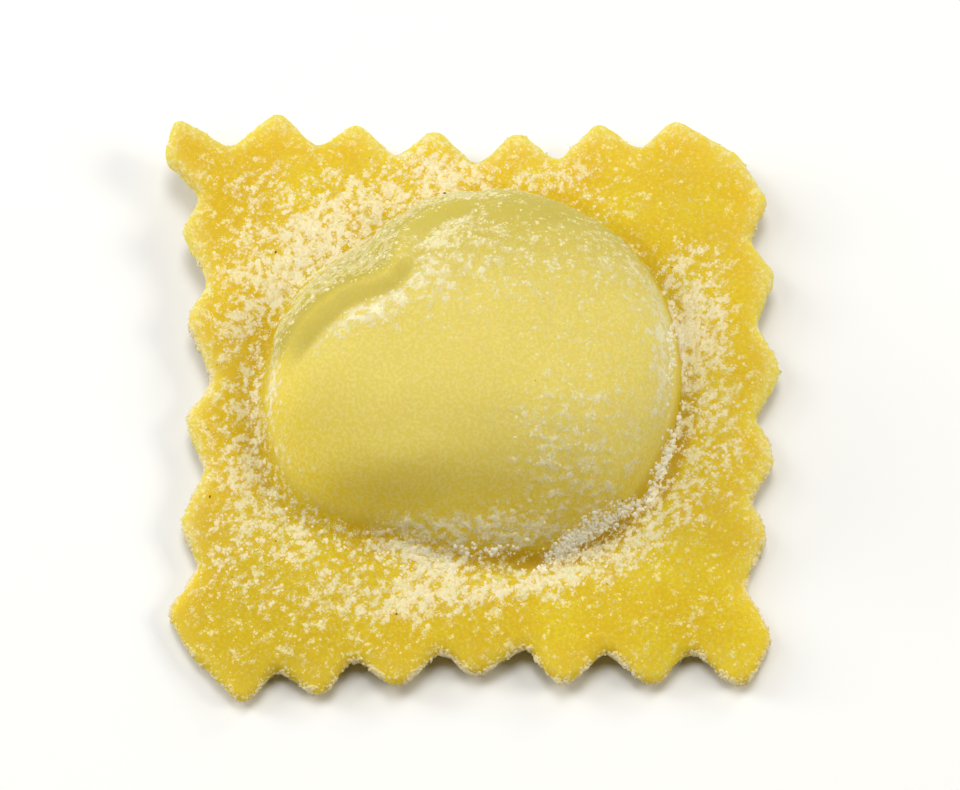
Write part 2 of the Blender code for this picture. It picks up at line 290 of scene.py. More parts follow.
@dataclass(frozen=True)
class Fold:
    """The lap where the upper sheet was pushed up against the filling, with its crease."""

    line: tuple[tuple[float, float], ...] = (
        (-16.3, -0.0),
        (-14.3, 1.5),
        (-12.3, 3.5),
        (-10.3, 5.2),
        (-8.1, 5.8),
        (-6.2, 6.7),
        (-5.2, 8.4),
        (-4.6, 10.3),
        (-4.1, 12.0),
        (-2.6, 13.3),
        (-0.8, 14.2),
        (1.2, 14.4),
    )
    groove: float = 0.06
    fill: float = 0.95
    band: float = 3.0

    def across(self, points: np.ndarray) -> tuple[np.ndarray, np.ndarray]:
        """Measure how far each point is from the crease.

        Args:
            points: n rows of x, y, z in mm.

        Returns:
            The distance, above 0 on the outer side, and how far along the crease, 0 to 1.
        """
        nearest = np.full(len(points), 1e9)
        side = np.zeros(len(points))
        along = np.zeros(len(points))
        pieces = len(self.line) - 1
        for number, (start, end) in enumerate(zip(self.line, self.line[1:])):
            step = np.subtract(end, start)
            offset = points[:, :2] - start
            share = np.clip(offset @ step / (step @ step), 0.0, 1.0)
            away = np.linalg.norm(offset - share[:, None] * step, axis=1)
            closer = away < nearest
            turn = step[0] * offset[:, 1] - step[1] * offset[:, 0]
            nearest = np.where(closer, away, nearest)
            side = np.where(closer, np.sign(turn), side)
            along = np.where(closer, (number + share) / pieces, along)
        return nearest * side, along

    def relief(self, points: np.ndarray) -> np.ndarray:
        """Tell how far the skin stands out or in.

        Args:
            points: n rows of x, y, z in mm.

        Returns:
            n distances along the normal in mm, above 0 outwards.
        """
        away, along = self.across(points)
        ends = smooth_step(0.0, 0.18, along) * smooth_step(1.0, 0.85, along)
        groove = self.groove * np.exp(-((away - 0.25) / 0.45) ** 2)
        filled = self.fill * smooth_step(-0.8, 0.9, away) * smooth_step(5.0, 2.6, away)
        return ends * (filled - groove)

    def band_share(self, points: np.ndarray) -> np.ndarray:
        """Tell where the bare band beyond the crease is.

        Args:
            points: n rows of x, y, z in mm.

        Returns:
            n shares, 1 on the band and 0 away from it.
        """
        away, along = self.across(points)
        wander = 0.6 * Noise(seed=3).fractal(points, 2.5, 2)
        width = self.band * (1.0 - 0.28 * smooth_step(0.15, 0.55, along)) + wander
        inside = smooth_step(-1.2, -0.2, away) * smooth_step(width - 0.2, width - 2.0, away)
        # The lap closes up half way along, and opens again as a small pocket.
        open_part = smooth_step(0.02, 0.14, along) * smooth_step(0.66, 0.50, along)
        pocket = smooth_step(0.68, 0.74, along) * smooth_step(0.97, 0.88, along)
        return inside * (open_part + pocket)

    def near_share(self, points: np.ndarray) -> np.ndarray:
        """Tell 1 at the crease and 0 a few millimetres away from it."""
        away, along = self.across(points)
        return np.exp(-((away / 3.0) ** 2)) * smooth_step(-0.01, 0.05, along)

    def slope_share(self, points: np.ndarray) -> np.ndarray:
        """Tell where the slope beyond the bare band is, as far as the dome's foot.

        Args:
            points: n rows of x, y, z in mm.

        Returns:
            n shares, 1 on the slope and 0 away from it.
        """
        away, along = self.across(points)
        beyond = smooth_step(0.2, 2.0, away) * smooth_step(9.0, 6.0, away)
        return beyond * smooth_step(0.0, 0.08, along) * smooth_step(1.0, 0.9, along)

    def lip_share(self, points: np.ndarray) -> np.ndarray:
        """Tell where the ridge inside the crease is, which semolina catches on.

        Args:
            points: n rows of x, y, z in mm.

        Returns:
            n shares, 1 on the ridge and 0 away from it.
        """
        away, along = self.across(points)
        ends = smooth_step(0.05, 0.3, along) * smooth_step(1.0, 0.9, along)
        return np.exp(-((away + 1.7) / 0.8) ** 2) * ends


@dataclass
class Dusting:
    """Where loose semolina lies on the upper side of the dough."""

    fold: Fold = Fold()
    # Each drift: x, y, half length, half width (mm), turn (degrees) and cover.
    border_drifts: tuple[Drift, ...] = (
        Drift(-14.8, 12.3, 7.5, 4.6, 40.0, 0.80),
        Drift(-9.3, 17.3, 7.0, 3.2, 25.0, 0.62),
        Drift(-17.8, 19.3, 4.5, 3.0, 0.0, 0.28),
        Drift(-3.3, 20.6, 3.0, 2.6, 0.0, 0.85),
        Drift(3.7, 20.3, 6.0, 1.8, 0.0, 0.45),
        Drift(10.7, 18.8, 3.0, 2.5, 0.0, 0.22),
        Drift(-19.8, 2.3, 2.0, 7.0, 0.0, 0.42),
        Drift(-17.6, -0.5, 0.9, 5.0, 0.0, 0.60),
        Drift(-19.3, -6.2, 3.0, 4.0, 0.0, 0.45),
        Drift(-15.8, -11.2, 5.5, 3.0, -20.0, 0.48),
        Drift(-12.3, -16.2, 6.5, 3.2, -15.0, 0.38),
        Drift(-3.3, -17.8, 6.5, 1.9, 3.0, 0.72),
        Drift(-4.6, -13.6, 4.5, 1.5, -4.0, 0.80),
        Drift(-2.3, -15.1, 3.0, 1.2, 3.0, 0.90),
        Drift(-13.0, -20.5, 9.0, 4.0, 0.0, 0.12),
        Drift(-20.5, -12.0, 3.0, 6.0, 0.0, 0.25),
        Drift(3.7, -16.6, 5.0, 1.6, 10.0, 0.62),
        Drift(9.7, -14.8, 5.0, 1.9, 25.0, 0.66),
        Drift(15.2, -11.2, 5.0, 2.4, 50.0, 0.62),
        Drift(19.5, -4.7, 2.9, 4.5, 0.0, 0.52),
        Drift(20.2, 1.3, 2.6, 3.5, 0.0, 0.48),
        Drift(20.4, 6.5, 1.4, 3.5, 0.0, 0.50),
        Drift(18.7, 7.3, 2.4, 4.2, 0.0, 0.82),
        Drift(17.5, 4.3, 1.3, 4.5, 0.0, 0.80),
        Drift(18.2, 12.3, 2.6, 2.4, 0.0, 0.42),
    )
    dome_drifts: tuple[Drift, ...] = (
        Drift(-3.8, 7.0, 6.0, 3.4, 40.0, 0.50),
        Drift(-9.3, 3.2, 4.5, 1.3, 28.0, 0.55),
        Drift(3.7, 8.8, 10.0, 7.0, 0.0, 0.42),
        Drift(1.7, 16.8, 7.0, 1.8, 0.0, 0.45),
        Drift(-9.8, 11.8, 5.5, 1.6, 38.0, 0.75),
        Drift(-2.3, 15.6, 6.0, 1.4, 15.0, 0.60),
        Drift(-16.7, 0.8, 1.1, 5.5, 0.0, 0.85),
        Drift(-15.1, -7.7, 2.0, 4.5, 20.0, 0.25),
        Drift(16.0, 2.6, 1.5, 8.5, 0.0, 0.80),
        Drift(12.8, 9.2, 2.6, 5.0, 30.0, 0.45),
        Drift(6.7, -6.7, 4.2, 4.8, -20.0, 0.46),
        Drift(10.7, -1.7, 4.0, 5.0, 0.0, 0.30),
        Drift(10.2, -8.6, 7.0, 2.6, 45.0, 0.32),
        Drift(12.2, -10.8, 6.5, 1.6, 45.0, 0.35),
        Drift(-4.8, -12.6, 3.5, 1.2, 0.0, 0.70),
        Drift(1.7, -13.4, 5.5, 1.7, 4.0, 0.80),
    )
    crusts: tuple[Drift, ...] = (
        Drift(9.7, -12.4, 6.0, 0.6, 33.0, 0.95),
        Drift(15.9, -5.8, 0.6, 4.2, -20.0, 0.8),
        Drift(1.2, -14.0, 4.0, 0.6, 3.0, 0.50),
        Drift(16.7, 3.0, 0.5, 6.0, -3.0, 0.55),
    )
    border_haze: float = 0.17
    dome_haze: float = 0.02
    most: float = 0.82
    lip_cover: float = 0.78
    slope_cover: float = 0.76
    caked_cover: float = 0.98
    band_bareness: float = 0.9
    clump_size: float = 1.9
    speck_size: float = 0.60
    softness: float = 0.20
    seed: int = 11

    def cover(self, points: np.ndarray, filling: np.ndarray) -> np.ndarray:
        """Tell the share of the surface that is covered, smooth over a millimetre or two.

        Args:
            points: n rows of x, y, z in mm.
            filling: how far each point is on the dome, 0 to 1.

        Returns:
            n shares from 0 to 1.
        """
        bare_border = np.full(len(points), 1.0 - self.border_haze)
        for drift in self.border_drifts:
            bare_border *= 1.0 - drift.share(points)
        bare_dome = np.full(len(points), 1.0 - self.dome_haze)
        for drift in self.dome_drifts:
            bare_dome *= 1.0 - drift.share(points)
        bare_dome *= 1.0 - self.lip_cover * self.fold.lip_share(points)
        bare_dome *= 1.0 - self.slope_cover * self.fold.slope_share(points)
        cover = 1.0 - (bare_border * (1.0 - filling) + bare_dome * filling)
        dusted = self.most * cover * (1.0 - self.band_bareness * self.fold.band_share(points))
        return np.maximum(dusted, self.caked_cover * self.caked(points))

    def caked(self, points: np.ndarray) -> np.ndarray:
        """Tell where semolina has caked in the angle between dome and border.

        Args:
            points: n rows of x, y, z in mm.

        Returns:
            n shares from 0 to 1.
        """
        bare = np.ones(len(points))
        for drift in self.crusts:
            bare *= 1.0 - drift.share(points)
        return 1.0 - bare

    def flecked(self, points: np.ndarray, cover: np.ndarray) -> np.ndarray:
        """Break the smooth cover up into clumps and bare spots, as a shaken dusting falls.

        Args:
            points: n rows of x, y, z in mm.
            cover: smooth share covered at each point.

        Returns:
            n densities from 0 to 1, whose mean is about the cover.
        """
        noise = Noise(self.seed)
        coarse = noise.sample(points, self.clump_size)
        fine = noise.fractal(points + 40.0, self.speck_size, 2)
        level = 0.5 + 0.5 * np.tanh(1.5 * (0.35 * coarse + fine))
        bar = 1.0 - cover
        return smooth_step(bar - self.softness, bar + self.softness, level) * smooth_step(0.0, 0.1, cover)


@dataclass
class TopGrid:
    """A grid of cells over the upper side, for measures that look round each point."""

    points: np.ndarray
    upper: np.ndarray
    cell: float = 0.25

    def __post_init__(self) -> None:
        """Sort the points into cells."""
        low = self.points[:, :2].min(axis=0) - 12.0 * self.cell
        high = self.points[:, :2].max(axis=0) + 12.0 * self.cell
        self.columns, self.rows = (np.ceil((high - low) / self.cell).astype(int) + 1).tolist()
        at = ((self.points[:, :2] - low) / self.cell).astype(int)
        self.index = at[:, 1] * self.columns + at[:, 0]

    def summed(self, values: np.ndarray) -> np.ndarray:
        """Add up the values of the upper side's points in each cell.

        Args:
            values: one number for each point.

        Returns:
            The sums, as rows of cells.
        """
        size = self.rows * self.columns
        total = np.bincount(self.index[self.upper], values[self.upper], size)
        return total.reshape(self.rows, self.columns)

    def blurred(self, field: np.ndarray, reach: float) -> np.ndarray:
        """Blur a grid.

        Args:
            field: one value for each cell.
            reach: how far to blur, in mm.

        Returns:
            The blurred grid.
        """
        for _ in range(max(1, round(2.0 * (reach / self.cell) ** 2))):
            for axis in (0, 1):
                field = 0.5 * field + 0.25 * (np.roll(field, 1, axis) + np.roll(field, -1, axis))
        return field

    def sunk(self, reach: float) -> np.ndarray:
        """Tell how far each point lies below the skin round it.

        Args:
            reach: how far to look round, in mm.

        Returns:
            Depths below the mean height in mm.
        """
        total = self.blurred(self.summed(self.points[:, 2]), reach)
        count = self.blurred(self.summed(np.ones(len(self.points))), reach)
        return (total / np.maximum(count, 1e-6)).ravel()[self.index] - self.points[:, 2]

    def inside(self, reach: float) -> np.ndarray:
        """Tell how much of what lies within a reach of each point is dough, 0 to 1."""
        filled = (self.summed(np.ones(len(self.points))) > 0.0).astype(float)
        return self.blurred(self.blurred(filled, self.cell), reach).ravel()[self.index]


@dataclass
class Skin:
    """The fine dough mesh as arrays, which the grains are strewn on. Lengths are in mm."""

    points: np.ndarray
    normals: np.ndarray
    triangles: np.ndarray
    filling: np.ndarray
    cut: np.ndarray
    upper: np.ndarray
    lone: np.ndarray

    def at(self, values: np.ndarray, picked: np.ndarray, shares: np.ndarray) -> np.ndarray:
        """Read vertex values inside triangles.

        Args:
            values: one row or number for each vertex.
            picked: triangle numbers.
            shares: three weights for each picked triangle.

        Returns:
            One row or number for each picked triangle.
        """
        corners = values[self.triangles[picked]]
        spread = shares if corners.ndim == 2 else shares[:, :, None]
        return (corners * spread).sum(axis=1)

    def strew(self, count: int, weight: np.ndarray, draw: np.random.Generator) -> "Spots":
        """Pick random spots, evenly by area times weight.

        Args:
            count: how many spots.
            weight: one number for each vertex, 0 where nothing may lie.
            draw: source of chance.

        Returns:
            The spots.
        """
        a, b, c = (self.points[self.triangles[:, k]] for k in range(3))
        area = np.linalg.norm(np.cross(b - a, c - a), axis=1) / 2.0
        chance = area * weight[self.triangles].mean(axis=1)
        picked = draw.choice(len(chance), size=count, p=chance / chance.sum())
        first, second = np.sort(draw.random((2, count)), axis=0)
        shares = np.stack([first, second - first, 1.0 - second], axis=1)
        return Spots(
            points=self.at(self.points, picked, shares),
            normals=unit(self.at(self.normals, picked, shares)),
            filling=self.at(self.filling, picked, shares),
            lone=self.at(self.lone, picked, shares),
        )


@dataclass
class Spots:
    """Places on the dough's skin where grains lie."""

    points: np.ndarray
    normals: np.ndarray
    filling: np.ndarray
    lone: np.ndarray


def mesh_object(name: str, points: np.ndarray, faces: np.ndarray) -> bpy.types.Object:
    """Make a mesh object in the scene.

    Args:
        name: name of the object and of its mesh.
        points: n rows of x, y, z in mm.
        faces: rows of vertex numbers, all of one length.

    Returns:
        The object, at the origin.
    """
    mesh = bpy.data.meshes.new(name)
    mesh.from_pydata(points * MM, [], faces)
    mesh.validate()
    return put(name, mesh)


def set_values(mesh: bpy.types.Mesh, name: str, values: np.ndarray) -> None:
    """Store one number for each vertex under a name that a material can read."""
    mesh.attributes.new(name, "FLOAT", "POINT").data.foreach_set("value", values.astype(np.float32))


def set_bake_map(mesh: bpy.types.Mesh, places: np.ndarray) -> None:
    """Store the map that finishes are baked through.

    Args:
        mesh: the mesh to store it on.
        places: one place from 0 to 1 in each direction, for each vertex.
    """
    corners = np.empty(len(mesh.loops), np.int32)
    mesh.loops.foreach_get("vertex_index", corners)
    layer = mesh.uv_layers.new(name="OFBake", do_init=False)
    layer.uv.foreach_set("vector", places[corners].astype(np.float32).ravel())


@dataclass(frozen=True)
class DoughFinish:
    """Sheeted egg-yolk dough, smooth and matt, under a thin film of rubbed-in flour."""

    border_bright: str = "#E0C41A"
    border_warm: str = "#DCBA12"
    border_deep: str = "#CDA60C"
    # Painted shade: the border's colour towards its near left corner.
    border_shaded: str = "#D2B512"
    border_grain: str = "#EAD65C"
    # The dome's near-left yellow, painted lighter than the dough is, as painted light against the shade on
    # that side.
    lit_flank: str = "#E6CC3C"
    dome_pale: str = "#E0CF68"
    dome_grain: str = "#EEE2A0"
    # Olive painted shade for the fold's band, the slope below it and the dome's far flank.
    fold_shade_olive: str = "#BFAE4C"
    # Ochre painted shade for the creases and hollows.
    crease_shade: str = "#BC8E16"
    rim_pale: str = "#E8D376"
    flour: str = "#F0E4BA"
    flour_shade: str = "#DCC67C"
    damp_flour: str = "#DDD7A8"
    lit_near_flour: str = "#F6EFC8"
    thick_flour: str = "#F8F3E0"
    # Flour in the same painted shade.
    shaded_flour: str = "#D4C88C"
    roughness: float = 0.58
    floury_roughness: float = 0.85
    ior: float = 1.45
    specular: float = 0.14
    # Sizes of the patterns in mm. Flour is finer than a tenth of a millimetre, too fine
    # to show, so its lace is drawn coarser.
    mottle_size: float = 5.0
    lace_size: float = 0.5
    grain_size: float = 0.28
    cloud_edge: tuple[float, float] = (0.35, 0.65)
    speck_edge: tuple[float, float] = (0.42, 0.66)
    light_speck_edge: tuple[float, float] = (0.50, 0.30)
    lace_edge: tuple[float, float] = (0.55, 0.76)
    crumb_edge: tuple[float, float] = (0.3, 0.6)
    thick_edge: tuple[float, float] = (0.8, 0.98)
    film_push: float = 0.27
    thin_film: float = 0.55
    # Light runs millimetres deep into yolk dough, red furthest, which gives it its glow.
    glow: tuple[float, float, float] = (1.0, 0.75, 0.1)
    glow_depth: float = 4.0

    def build(self) -> bpy.types.Material:
        """Build the material.

        Returns:
            A material that reads the values stored on the dough's mesh.
        """
        material, tree = fresh_material("sheeted_egg_dough")
        # Turned off the axes, so that the noise's rows don't show on the flat border.
        straight = add_node(tree, "TexCoord").outputs["Object"]
        place = add_node(tree, "Mapping", {"Vector": straight, "Rotation": (0.6, 0.4, 0.9)}).outputs[0]
        names = ("filling", "pale", "band", "hollow_shade", "rim", "film")
        filling, pale, band, hollow_shade, rim, film = (
            add_node(tree, "Attribute", attribute_name=name).outputs["Fac"] for name in names
        )
        patterns = (
            {"Scale": per_metre(self.mottle_size), "Detail": 4.0},
            {"Scale": per_metre(self.grain_size), "Detail": 2.0},
            {"Scale": per_metre(self.lace_size), "Detail": 4.0, "Roughness": 0.8},
        )
        mottle, grit, lace = (
            add_node(tree, "TexNoise", {"Vector": place, **pattern}).outputs["Fac"] for pattern in patterns
        )

        # Broad warm and light clouds, as yolk is never spread evenly through a dough. The
        # semolina in the dough itself shows as specks: gold on the border, pale on the dome.
        clouded = coated(tree, self.border_warm, Coat(self.border_bright, mottle, self.cloud_edge))
        # The border is painted darker towards its near left corner, a painted shade.
        border = coated(
            tree,
            self.border_shaded,
            Coat(clouded, pale),
            Coat(self.border_deep, grit, self.speck_edge, 0.3),
            Coat(self.border_grain, grit, self.light_speck_edge, 0.3),
        )
        # The sheet is stretched thin over the filling, whose pale cheese shows through.
        # Olive painted shade lies on the fold's band, on the slope below it and on the dome's far flank.
        dome = coated(
            tree,
            self.lit_flank,
            Coat(self.dome_pale, pale),
            Coat(self.dome_grain, grit, self.speck_edge, 0.35),
            Coat(self.fold_shade_olive, band),
        )
        # Ochre painted shade in the creases and hollows, and dry, paler crumb along the cut edge.
        bare = coated(
            tree,
            border,
            Coat(dome, filling),
            Coat(self.crease_shade, hollow_shade, strength=0.6),
            Coat(self.rim_pale, grit, self.crumb_edge, 0.55, within=rim),
        )

        # Flour on the skin: fine lace that closes up and whitens where the dusting is heavy.
        weighed = add_node(tree, "Math", {0: film, 1: self.film_push}, operation="MULTIPLY").outputs[0]
        raised = add_node(tree, "Math", {0: lace, 1: weighed}, operation="ADD").outputs[0]
        low, high = self.lace_edge
        dusted = add_node(
            tree,
            "MapRange",
            {"Value": raised, "From Min": low, "From Max": high},
            interpolation_type="SMOOTHSTEP",
        ).outputs[0]
        thick = add_node(tree, "MapRange", {"Value": film, "To Min": self.thin_film}).outputs[0]
        # Flour on the dome's near flank is painted lighter, a painted light against the shade there.
        damp = coated(tree, self.lit_near_flour, Coat(self.damp_flour, pale))
        flour = coated(
            tree,
            self.flour,
            Coat(damp, filling),
            Coat(self.flour_shade, grit, self.speck_edge, 0.75),
            Coat(self.thick_flour, film, self.thick_edge),
            # Painted shade on the flour of the fold's band, its slope and the dome's far flank.
            Coat(self.shaded_flour, band),
        )
        colour = coated(tree, bare, Coat(flour, dusted, within=thick))

        roughness = add_node(
            tree,
            "MapRange",
            {"Value": dusted, "To Min": self.roughness, "To Max": self.floury_roughness},
        ).outputs[0]
        # Flour grains and the grain of the dough stand out by hundredths of a millimetre.
        relief = add_node(tree, "Math", {0: grit, 1: dusted}, operation="ADD").outputs[0]
        bump = add_node(
            tree, "Bump", {"Height": relief, "Strength": 0.6, "Distance": 0.08 * MM}
        ).outputs[0]
        shader = add_node(
            tree,
            "BsdfPrincipled",
            {
                "Base Color": colour,
                "Roughness": roughness,
                "IOR": self.ior,
                "Specular IOR Level": self.specular,
                "Normal": bump,
                "Subsurface Weight": 0.9,
                "Subsurface Radius": self.glow,
                "Subsurface Scale": self.glow_depth * MM,
            },
        ).outputs[0]
        add_node(tree, "OutputMaterial", {"Surface": shader})
        return material


@dataclass(frozen=True)
class GrainFinish:
    """Milled grain, from chalky flour to a hard glassy chip."""

    name: str
    pale: str
    deep: str
    roughness: float
    damp: str = "#DFD9B0"
    lone: str = "#EBD772"
    ior: float = 1.5
    specular: float = 0.3
    speck_size: float = 0.25
    soaked: float = 0.75

    def build(self) -> bpy.types.Material:
        """Build the material.

        Returns:
            A material that reads each grain's tone value.
        """
        material, tree = fresh_material(self.name)
        place = add_node(tree, "TexCoord").outputs["Object"]
        names = ("tone", "lone", "damp")
        tone, lone, damp = (
            add_node(tree, "Attribute", attribute_name=name).outputs["Fac"] for name in names
        )
        # Each grain has its own tone, and a cloudier part where the starch shows.
        cloud = add_node(
            tree, "TexNoise", {"Vector": place, "Scale": per_metre(self.speck_size), "Detail": 1.0}
        ).outputs["Fac"]
        mixed = add_node(tree, "Math", {0: tone, 1: cloud}, operation="ADD").outputs[0]
        # Grains that have drawn moisture from the dough go dull and take its colour.
        colour = coated(
            tree,
            self.deep,
            Coat(self.pale, mixed, (0.3, 1.3)),
            Coat(self.lone, lone, strength=self.soaked),
            Coat(self.damp, damp, strength=self.soaked),
        )
        shader = add_node(
            tree,
            "BsdfPrincipled",
            {
                "Base Color": colour,
                "Roughness": self.roughness,
                "IOR": self.ior,
                "Specular IOR Level": self.specular,
            },
        ).outputs[0]
        add_node(tree, "OutputMaterial", {"Surface": shader})
        return material


@dataclass
class Dough:
    """The raviolo's dough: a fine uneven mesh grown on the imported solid."""

    fold: Fold = Fold()
    voxel: float = 0.27
    border_smoothing: int = 4
    dome_smoothing: int = 14
    foot_smoothing: int = 100
    fold_smoothing: int = 160
    soft_feet: tuple[Drift, ...] = (
        Drift(-7.8, -12.7, 7.0, 3.2, -10.0, 1.0),
        Drift(-10.3, 12.2, 9.0, 4.0, 40.0, 1.0),
        Drift(-16.0, 0.8, 3.2, 2.6, 45.0, 1.0),
    )
    foot_radius: float = 20.5
    # Heights over the border in mm: where the dome begins, and where its cheese shows.
    dome_foot: tuple[float, float] = (0.5, 2.2)
    pale_height: tuple[float, float] = (2.0, 9.0)
    hollow_reach: float = 0.9
    hollow_depth: tuple[float, float] = (0.10, 0.45)
    rim_reach: float = 1.1
    rim_dough: tuple[float, float] = (0.99, 0.60)
    fleck_film: float = 0.65
    haze_film: float = 0.35
    rim_film: float = 0.48
    undulation: tuple[tuple[float, float], ...] = ((6.0, 0.07), (2.2, 0.04), (0.8, 0.02))
    crust_height: float = 0.08
    edge_roughness: float = 0.10
    seed: int = 5

    def build(self, dusting: Dusting) -> tuple[bpy.types.Object, Skin]:
        """Build and dress the dough.

        Args:
            dusting: where semolina lies, which also roughens the skin.

        Returns:
            The dough, and its skin as arrays for the grains to lie on.
        """
        dough = self.fine_copy()
        mesh = dough.data
        points, normals = self.arrays(mesh)
        rise = self.rise(points, normals)
        filling = smooth_step(*self.dome_foot, rise)
        points = self.relaxed(mesh, points, filling, self.dome_smoothing)
        points = self.relaxed(mesh, points, filling * self.fold.near_share(points), self.fold_smoothing)
        for foot in self.soft_feet:
            share = foot.share(points) * (normals[:, 2] > 0.2)
            points = self.relaxed(mesh, points, share, self.foot_smoothing)
        upper = smooth_step(0.15, 0.45, normals[:, 2])
        cut = smooth_step(0.75, 0.35, np.abs(normals[:, 2])) * (1.0 - filling) * self.outer(points)
        cover = dusting.cover(points, filling)
        flecks = dusting.flecked(points, cover) * upper
        grid = TopGrid(points, normals[:, 2] > 0.1)
        # Painted shade in the hollows: darker the deeper the skin lies below what is round it, darkest at
        # the dome's near right foot.
        deep = smooth_step(-3.0, 5.0, points[:, 0]) * smooth_step(4.0, -3.0, points[:, 1])
        hollow_shade = smooth_step(*self.hollow_depth, grid.sunk(self.hollow_reach)) * upper
        hollow_shade = hollow_shade * (0.25 + 0.75 * deep)
        # The pale rim is weaker along the near edge.
        dry = 0.35 + 0.65 * smooth_step(-20.0, -10.0, points[:, 1])
        rim = smooth_step(*self.rim_dough, grid.inside(self.rim_reach)) * dry

        lift = self.relief(points, flecks, cut) + filling * self.fold.relief(points)
        lift *= smooth_step(0.0, 0.6, points[:, 2])
        points = points + normals * lift[:, None]
        points[:, 2] = np.maximum(points[:, 2], 0.0)
        mesh.vertices.foreach_set("co", (points * MM).astype(np.float32).ravel())
        mesh.update()

        set_values(mesh, "filling", filling)
        # The dome is paler higher up and towards the far right, and deeper yellow on its near left.
        away = smooth_step(-8.0, 8.0, far_right(points))
        pale = smooth_step(*self.pale_height, rise + 4.5 * away * (rise > 0.3))
        # Painted shade: the border is darker towards its near left corner, which bends down away from the
        # light.
        light = smooth_step(-36.0, -12.0, 0.6 * points[:, 0] + points[:, 1])
        light *= 1.0 - 0.55 * smooth_step(-13.0, -24.0, points[:, 0])
        set_values(mesh, "pale", pale * filling + light * (1.0 - filling))
        # Painted shade: the sheet is darkened towards olive on the fold's band, on the slope below the
        # fold and on the dome's far flank.
        shaded = np.maximum(self.fold.slope_share(points), 0.9 * smooth_step(4.0, 15.5, points[:, 1]))
        set_values(mesh, "band", filling * np.maximum(0.75 * self.fold.band_share(points), shaded))
        set_values(mesh, "hollow_shade", hollow_shade)
        set_values(mesh, "rim", rim)
        film = self.fleck_film * flecks + self.haze_film * cover * upper
        set_values(mesh, "film", np.maximum(film, self.rim_film * rim))
        set_bake_map(mesh, self.bake_places(points, normals))
        mesh.materials.clear()
        mesh.materials.append(DoughFinish().build())
        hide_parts(NODE)
        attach(dough, BODY)

        mesh.calc_loop_triangles()
        triangles = np.empty(len(mesh.loop_triangles) * 3, np.int32)
        mesh.loop_triangles.foreach_get("vertices", triangles)
        points, normals = self.arrays(mesh)
        lone = smooth_step(0.35, 0.1, cover) * (1.0 - cut)
        skin = Skin(points, normals, triangles.reshape(-1, 3), filling, cut, upper, lone)
        LOG.info("dough: %d triangles", len(skin.triangles))
        return dough, skin

    def fine_copy(self) -> bpy.types.Object:
        """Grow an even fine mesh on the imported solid.

        Returns:
            The mesh object, smooth-shaded, with its sizes in metres.
        """
        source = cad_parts[NODE]
        coarse = source.data.copy()
        coarse.transform(evenly(1.0 / MM))
        rough = put("dough_source", coarse)
        remesh = rough.modifiers.new("even", "REMESH")
        remesh.mode = "VOXEL"
        remesh.voxel_size = self.voxel
        relax = rough.modifiers.new("relax", "SMOOTH")
        relax.iterations = self.border_smoothing
        relax.factor = 0.5
        graph = bpy.context.evaluated_depsgraph_get()
        mesh = bpy.data.meshes.new_from_object(rough.evaluated_get(graph))
        mesh.name = "dough"
        mesh.transform(evenly(MM))
        bpy.data.objects.remove(rough)
        mesh.polygons.foreach_set("use_smooth", np.ones(len(mesh.polygons), bool))
        return put("dough", mesh)

    @staticmethod
    def arrays(mesh: bpy.types.Mesh) -> tuple[np.ndarray, np.ndarray]:
        """Read a mesh's vertices and their normals.

        Args:
            mesh: the mesh, in metres.

        Returns:
            Rows of x, y, z in mm, and the unit normals.
        """
        count = len(mesh.vertices)
        points = np.empty(count * 3, np.float32)
        mesh.vertices.foreach_get("co", points)
        normals = np.empty(count * 3, np.float32)
        mesh.vertex_normals.foreach_get("vector", normals)
        return points.reshape(-1, 3).astype(float) / MM, normals.reshape(-1, 3).astype(float)

    @staticmethod
    def relaxed(mesh: bpy.types.Mesh, points: np.ndarray, share: np.ndarray, rounds: int) -> np.ndarray:
        """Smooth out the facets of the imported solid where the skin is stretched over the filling.

        Args:
            mesh: the mesh, for its edges.
            points: vertices in mm.
            share: how much each vertex may move, 0 to 1.
            rounds: how many times each vertex moves towards its neighbours.

        Returns:
            The smoothed vertices.
        """
        ends = np.empty(len(mesh.edges) * 2, np.int32)
        mesh.edges.foreach_get("vertices", ends)
        one, other = ends.reshape(-1, 2).T
        count = np.bincount(ends, minlength=len(points))[:, None]
        for _ in range(rounds):
            total = np.stack(
                [
                    np.bincount(one, points[other, axis], len(points))
                    + np.bincount(other, points[one, axis], len(points))
                    for axis in range(3)
                ],
                axis=1,
            )
            points = points + 0.5 * share[:, None] * (total / count - points)
        return points

    def outer(self, points: np.ndarray) -> np.ndarray:
        """Tell 1 on the border beyond the dome's foot and 0 on the dome."""
        radius = np.hypot(points[:, 0], points[:, 1] - 2.0)
        return smooth_step(self.foot_radius - 2.0, self.foot_radius, radius)

    def rise(self, points: np.ndarray, normals: np.ndarray) -> np.ndarray:
        """Tell how high each vertex stands over the border's gently bent plane.

        Args:
            points: vertices in mm.
            normals: their normals.

        Returns:
            Heights in mm, 0 on the underside and beyond the dome's foot.
        """
        x, y, z = points.T
        terms = np.stack([np.ones_like(x), x, y, x * x, x * y, y * y], axis=1)
        flat = (self.outer(points) > 0.99) & (normals[:, 2] > 0.8)
        plane = np.linalg.lstsq(terms[flat], z[flat], rcond=None)[0]
        return (z - terms @ plane) * (normals[:, 2] > 0.0) * (1.0 - self.outer(points))

    def relief(self, points: np.ndarray, flecks: np.ndarray, cut: np.ndarray) -> np.ndarray:
        """Tell how far each vertex moves out along its normal.

        Args:
            points: vertices in mm.
            flecks: density of the semolina on each vertex.
            cut: how far each vertex is on the cut edge.

        Returns:
            Moves in mm.
        """
        noise = Noise(self.seed)
        lift = sum(height * noise.sample(points, size) for size, height in self.undulation)
        lift += self.crust_height * flecks * (0.6 + noise.sample(points + 9.0, 0.7))
        lift += self.edge_roughness * cut * noise.fractal(points + 5.0, 1.1, 2)
        return lift

